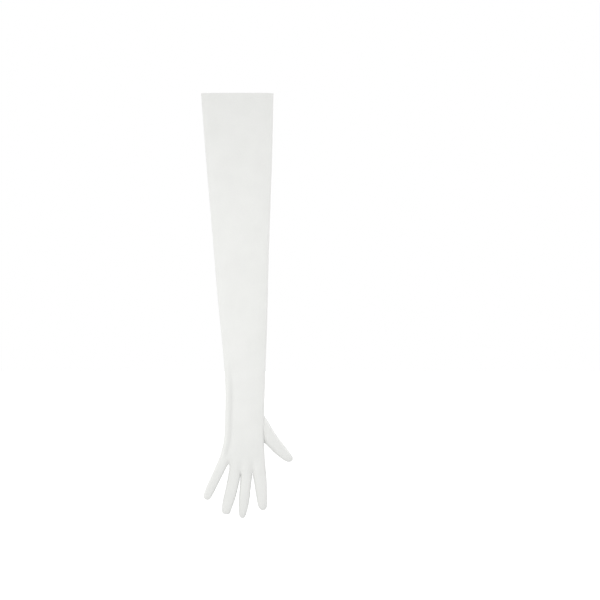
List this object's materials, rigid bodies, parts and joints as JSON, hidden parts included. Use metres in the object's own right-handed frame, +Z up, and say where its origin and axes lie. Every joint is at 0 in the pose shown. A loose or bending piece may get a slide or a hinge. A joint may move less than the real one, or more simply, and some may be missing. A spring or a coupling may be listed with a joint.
{
  "type": "long velvet dress glove",
  "caption": "Long five-fingered velvet glove for the right hand, hanging fingers down: a tapering hollow sleeve, set-in thumb and side strips between the fingers.",
  "frame": {"origin": "middle of the mouth that the arm goes into, at the height of the hem's edge", "axes": "+Z up out of the mouth, fingers towards -Z; the back of the hand faces -Y and the palm +Y; the thumb side is +X"},
  "size_m": [0.1534, 0.042, 0.7001],
  "materials": {
    "velvet": "matte short-pile stretch velvet, off-white"
  },
  "bodies": {
    "root": {"trank": "velvet", "thumb": "velvet", "fourchette_index_middle": "velvet", "fourchette_middle_ring": "velvet", "fourchette_ring_little": "velvet"}
  },
  "joints": []
}
